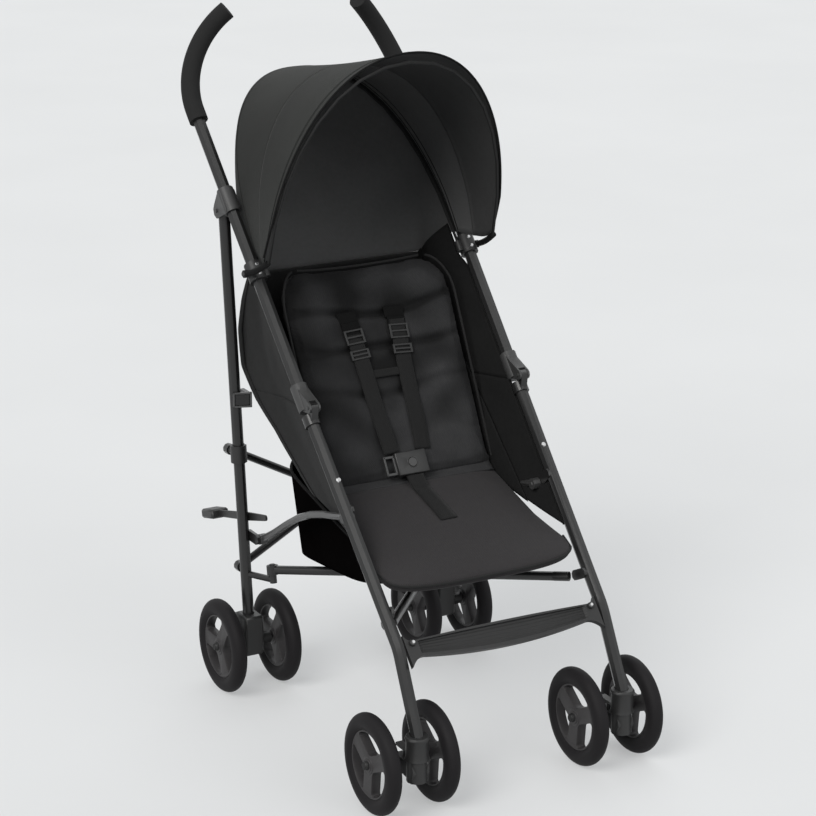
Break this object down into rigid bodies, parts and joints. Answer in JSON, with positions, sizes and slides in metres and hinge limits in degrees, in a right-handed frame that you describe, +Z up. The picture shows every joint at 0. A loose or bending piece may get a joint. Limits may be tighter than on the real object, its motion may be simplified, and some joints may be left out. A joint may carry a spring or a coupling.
{
  "type": "lightweight stroller",
  "caption": "Lightweight umbrella-fold stroller with a curved hood, padded seat and backrest, hooked foam handles, a storage basket and twin wheels on each leg.",
  "frame": {"origin": "centre of the footprint, on the floor", "axes": "+X to the child's left, +Y to the rear, +Z up"},
  "size_m": [0.4668, 0.7559, 1.0363],
  "materials": {
    "frame": "satin dark coating",
    "plastic": "fine texture",
    "foam": "matt foam",
    "tyre": "matt",
    "metal": "bare",
    "cloth": "woven",
    "padding": "padded, woven",
    "webbing": "ribbed band"
  },
  "bodies": {
    "rear_right": {"rear_leg_right": "frame", "rear_housing_right": "plastic", "rear_axle_right": "metal"},
    "handle_right": {"handle_tube_right": "frame", "handle_grip_right": "foam", "elbow_right": "plastic", "leg_bracket_right": "plastic", "canopy_clip_right": "plastic"},
    "front_right": {"front_leg_right": "frame", "caster_socket_right": "plastic"},
    "caster_right": {"caster_fork_right": "plastic", "front_axle_right": "metal"},
    "link_right": {"side_link_right": "frame"},
    "brace_right": {"seat_brace_right": "frame"},
    "rear_bar_right": {"rear_cross_bar_right": "frame"},
    "slider_right_body": {"slider_right": "plastic"},
    "pedal_right": {"brake_pedal_right": "plastic"},
    "swivel_lock_right_body": {"swivel_lock_right": "plastic"},
    "wheel_front_right_outer_body": {"wheel_front_right_outer": "tyre"},
    "wheel_front_right_inner_body": {"wheel_front_right_inner": "tyre"},
    "wheel_rear_right_outer_body": {"wheel_rear_right_outer": "tyre"},
    "wheel_rear_right_inner_body": {"wheel_rear_right_inner": "tyre"},
    "rear_left": {"rear_leg_left": "frame", "rear_housing_left": "plastic", "rear_axle_left": "metal"},
    "handle_left": {"handle_tube_left": "frame", "handle_grip_left": "foam", "elbow_left": "plastic", "leg_bracket_left": "plastic", "canopy_clip_left": "plastic"},
    "front_left": {"front_leg_left": "frame", "caster_socket_left": "plastic"},
    "caster_left": {"caster_fork_left": "plastic", "front_axle_left": "metal"},
    "link_left": {"side_link_left": "frame"},
    "brace_left": {"seat_brace_left": "frame"},
    "rear_bar_left": {"rear_cross_bar_left": "frame"},
    "slider_left_body": {"slider_left": "plastic"},
    "pedal_left": {"brake_pedal_left": "plastic"},
    "swivel_lock_left_body": {"swivel_lock_left": "plastic"},
    "wheel_front_left_outer_body": {"wheel_front_left_outer": "tyre"},
    "wheel_front_left_inner_body": {"wheel_front_left_inner": "tyre"},
    "wheel_rear_left_outer_body": {"wheel_rear_left_outer": "tyre"},
    "wheel_rear_left_inner_body": {"wheel_rear_left_inner": "tyre"},
    "lever": {"lock_lever": "plastic"},
    "basket_body": {"basket": "cloth"},
    "upper": {"canopy": "cloth", "rear_bow": "metal"},
    "lower": {"seat_base": "padding", "footrest": "plastic", "crotch_strap": "webbing", "buckle": "plastic"},
    "backrest": {"backrest_fabric": "cloth", "back_pad": "padding", "shoulder_strap_right": "webbing", "shoulder_strap_left": "webbing"},
    "button": {"buckle_button": "plastic"},
    "front_bow_body": {"front_bow": "metal"}
  },
  "joints": [
    {"name": "handle_right_fold", "type": "hinge", "parent": "rear_right", "child": "handle_right", "pos_m": [-0.18161, 0.22865, 0.75039], "axis": [1, 0, 0], "range_deg": [0, 37.3]},
    {"name": "elbow_right_fold", "type": "hinge", "parent": "handle_right", "child": "front_right", "pos_m": [-0.17549, -0.04938, 0.51731], "axis": [-1, 0, 0], "range_deg": [0, 165]},
    {"name": "link_right_fold", "type": "hinge", "parent": "rear_right", "child": "link_right", "pos_m": [-0.156, 0.16512, 0.24345], "axis": [-1, 0, 0], "range_deg": [0, 49.5]},
    {"name": "brace_right_fold", "type": "hinge", "parent": "rear_right", "child": "brace_right", "pos_m": [-0.148, 0.1466, 0.19747], "axis": [0, -0.1673, -0.9859], "range_deg": [0, 38]},
    {"name": "rear_bar_right_fold", "type": "hinge", "parent": "rear_right", "child": "rear_bar_right", "pos_m": [-0.17323, 0.20863, 0.18765], "axis": [0, -0.9976, 0.0698], "range_deg": [0, 39.23]},
    {"name": "slider_right_slide", "type": "slide", "parent": "rear_right", "child": "slider_right_body", "axis": [-0.0149, 0.0698, 0.9975], "range_m": [0, 0.1791]},
    {"name": "caster_right_swivel", "type": "hinge", "parent": "front_right", "child": "caster_right", "pos_m": [-0.1695, -0.3487, 0.0885], "axis": [0, 0, 1], "continuous": true},
    {"name": "swivel_lock_right_flip", "type": "hinge", "parent": "caster_right", "child": "swivel_lock_right_body", "pos_m": [-0.1695, -0.3262, 0.091], "axis": [1, 0, 0], "range_deg": [0, 25]},
    {"name": "brake_right_press", "type": "hinge", "parent": "rear_right", "child": "pedal_right", "pos_m": [-0.1715, 0.2068, 0.094], "axis": [1, 0, 0], "range_deg": [-20, 0]},
    {"name": "wheel_front_right_outer_spin", "type": "hinge", "parent": "caster_right", "child": "wheel_front_right_outer_body", "pos_m": [-0.1695, -0.3057, 0.0735], "axis": [1, 0, 0], "continuous": true},
    {"name": "wheel_front_right_inner_spin", "type": "hinge", "parent": "caster_right", "child": "wheel_front_right_inner_body", "pos_m": [-0.1695, -0.3057, 0.0735], "axis": [1, 0, 0], "continuous": true},
    {"name": "wheel_rear_right_outer_spin", "type": "hinge", "parent": "rear_right", "child": "wheel_rear_right_outer_body", "pos_m": [-0.1715, 0.1813, 0.0735], "axis": [1, 0, 0], "continuous": true},
    {"name": "wheel_rear_right_inner_spin", "type": "hinge", "parent": "rear_right", "child": "wheel_rear_right_inner_body", "pos_m": [-0.1715, 0.1813, 0.0735], "axis": [1, 0, 0], "continuous": true},
    {"name": "left_side_shift", "type": "slide", "parent": "rear_right", "child": "rear_left", "axis": [-1, 0, 0], "range_m": [0, 0.196]},
    {"name": "handle_left_fold", "type": "hinge", "parent": "rear_left", "child": "handle_left", "pos_m": [0.18161, 0.22865, 0.75039], "axis": [1, 0, 0], "range_deg": [0, 37.3]},
    {"name": "elbow_left_fold", "type": "hinge", "parent": "handle_left", "child": "front_left", "pos_m": [0.17549, -0.04938, 0.51731], "axis": [-1, 0, 0], "range_deg": [0, 165]},
    {"name": "link_left_fold", "type": "hinge", "parent": "rear_left", "child": "link_left", "pos_m": [0.156, 0.16512, 0.24345], "axis": [-1, 0, 0], "range_deg": [0, 49.5]},
    {"name": "brace_left_fold", "type": "hinge", "parent": "rear_left", "child": "brace_left", "pos_m": [0.148, 0.14409, 0.18268], "axis": [0, 0.1673, 0.9859], "range_deg": [0, 38]},
    {"name": "rear_bar_left_fold", "type": "hinge", "parent": "rear_left", "child": "rear_bar_left", "pos_m": [0.17323, 0.2217, 0.18674], "axis": [0, 0.9976, -0.0698], "range_deg": [0, 39.23]},
    {"name": "slider_left_slide", "type": "slide", "parent": "rear_left", "child": "slider_left_body", "axis": [0.0149, 0.0698, 0.9975], "range_m": [0, 0.1791]},
    {"name": "caster_left_swivel", "type": "hinge", "parent": "front_left", "child": "caster_left", "pos_m": [0.1695, -0.3487, 0.0885], "axis": [0, 0, 1], "continuous": true},
    {"name": "swivel_lock_left_flip", "type": "hinge", "parent": "caster_left", "child": "swivel_lock_left_body", "pos_m": [0.1695, -0.3262, 0.091], "axis": [1, 0, 0], "range_deg": [0, 25]},
    {"name": "brake_left_press", "type": "hinge", "parent": "rear_left", "child": "pedal_left", "pos_m": [0.1715, 0.2068, 0.094], "axis": [1, 0, 0], "range_deg": [-20, 0]},
    {"name": "wheel_front_left_outer_spin", "type": "hinge", "parent": "caster_left", "child": "wheel_front_left_outer_body", "pos_m": [0.1695, -0.3057, 0.0735], "axis": [1, 0, 0], "continuous": true},
    {"name": "wheel_front_left_inner_spin", "type": "hinge", "parent": "caster_left", "child": "wheel_front_left_inner_body", "pos_m": [0.1695, -0.3057, 0.0735], "axis": [1, 0, 0], "continuous": true},
    {"name": "wheel_rear_left_outer_spin", "type": "hinge", "parent": "rear_left", "child": "wheel_rear_left_outer_body", "pos_m": [0.1715, 0.1813, 0.0735], "axis": [1, 0, 0], "continuous": true},
    {"name": "wheel_rear_left_inner_spin", "type": "hinge", "parent": "rear_left", "child": "wheel_rear_left_inner_body", "pos_m": [0.1715, 0.1813, 0.0735], "axis": [1, 0, 0], "continuous": true},
    {"name": "lock_lever_press", "type": "hinge", "parent": "rear_right", "child": "lever", "pos_m": [-0.16357, 0.19518, 0.272], "axis": [1, 0, 0], "range_deg": [-20, 0]},
    {"name": "centre_shift", "type": "slide", "parent": "rear_right", "child": "basket_body", "axis": [-1, 0, 0], "range_m": [0, 0.098], "deforming": ["basket", "seat_base", "backrest_fabric", "back_pad", "canopy", "rear_bow", "front_bow", "footrest", "shoulder_strap_right", "shoulder_strap_left", "crotch_strap"]},
    {"name": "upper_fold", "type": "hinge", "parent": "basket_body", "child": "upper", "pos_m": [0, 0.22865, 0.75039], "axis": [1, 0, 0], "range_deg": [0, 37.3]},
    {"name": "lower_fold", "type": "hinge", "parent": "upper", "child": "lower", "pos_m": [0, -0.04938, 0.51731], "axis": [-1, 0, 0], "range_deg": [0, 165]},
    {"name": "backrest_recline", "type": "hinge", "parent": "upper", "child": "backrest", "pos_m": [0, -0.0177, 0.379], "axis": [-1, 0, 0], "range_deg": [0, 25], "deforming": ["backrest_fabric", "back_pad", "canopy"]},
    {"name": "buckle_button_press", "type": "slide", "parent": "lower", "child": "button", "axis": [0, 0.848, -0.5299], "range_m": [0, 0.002], "stiffness_N_per_m": 400, "springref_m": -0.001},
    {"name": "front_bow_fold", "type": "hinge", "parent": "upper", "child": "front_bow_body", "pos_m": [0, 0.12627, 0.67694], "axis": [-1, 0, 0], "range_deg": [0, 50], "deforming": ["canopy"]}
  ],
  "couplings": [
    {"joint": "handle_right_fold", "follows": "elbow_right_fold", "ratio": 0.22606},
    {"joint": "link_right_fold", "follows": "elbow_right_fold", "ratio": 0.3},
    {"joint": "brace_right_fold", "follows": "elbow_right_fold", "ratio": 0.2303},
    {"joint": "rear_bar_right_fold", "follows": "elbow_right_fold", "ratio": 0.23776},
    {"joint": "slider_right_slide", "follows": "elbow_right_fold", "m_per_rad": 0.062192},
    {"joint": "left_side_shift", "follows": "elbow_right_fold", "m_per_rad": 0.06806},
    {"joint": "handle_left_fold", "follows": "elbow_right_fold", "ratio": 0.22606},
    {"joint": "elbow_left_fold", "follows": "elbow_right_fold", "ratio": 1},
    {"joint": "link_left_fold", "follows": "elbow_right_fold", "ratio": 0.3},
    {"joint": "brace_left_fold", "follows": "elbow_right_fold", "ratio": 0.2303},
    {"joint": "rear_bar_left_fold", "follows": "elbow_right_fold", "ratio": 0.23776},
    {"joint": "slider_left_slide", "follows": "elbow_right_fold", "m_per_rad": 0.062192},
    {"joint": "centre_shift", "follows": "elbow_right_fold", "m_per_rad": 0.03403},
    {"joint": "upper_fold", "follows": "elbow_right_fold", "ratio": 0.22606},
    {"joint": "lower_fold", "follows": "elbow_right_fold", "ratio": 1}
  ]
}
